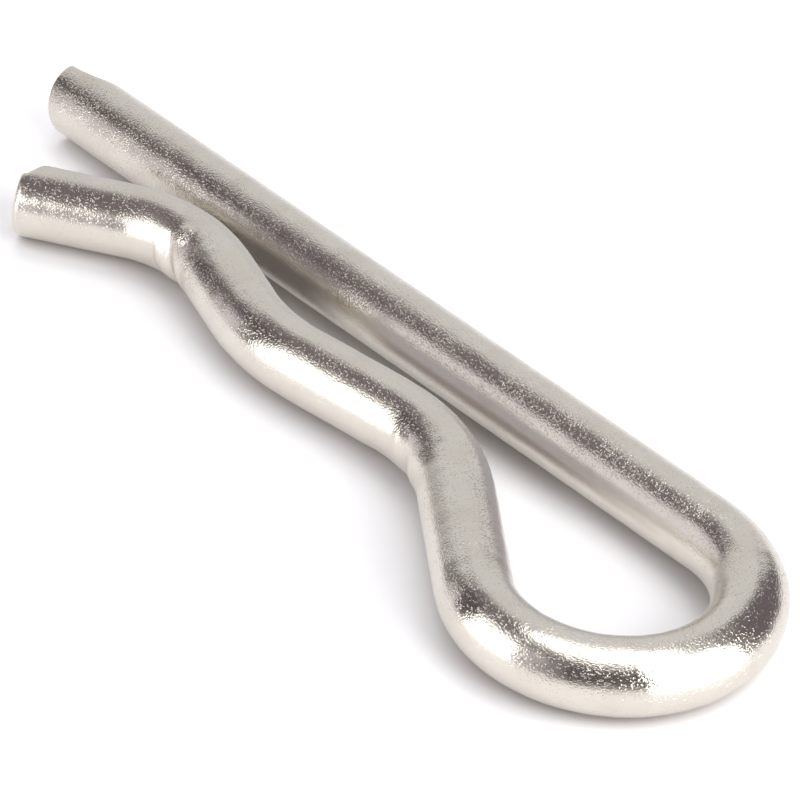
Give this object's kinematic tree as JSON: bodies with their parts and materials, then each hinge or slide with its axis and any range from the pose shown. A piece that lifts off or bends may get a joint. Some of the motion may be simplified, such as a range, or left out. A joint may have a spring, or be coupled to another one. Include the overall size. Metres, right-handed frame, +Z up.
{
  "type": "hitch r clip pin",
  "caption": "One-piece spring wire clip with a straight leg, a round loop and a wavy spring leg that grips around a pin.",
  "frame": {"origin": "under the middle of the clip's box, on the surface that the clip lies on", "axes": "+X along the straight leg toward the loop, +Y from the spring leg toward the straight leg, +Z up out of the plane of the bends"},
  "size_m": [0.0582, 0.0176, 0.004],
  "materials": {
    "nickel_plate": "nickel plate over drawn steel wire, satin with a fine grainy sparkle"
  },
  "bodies": {
    "root": {"wire": "nickel_plate"}
  },
  "joints": []
}
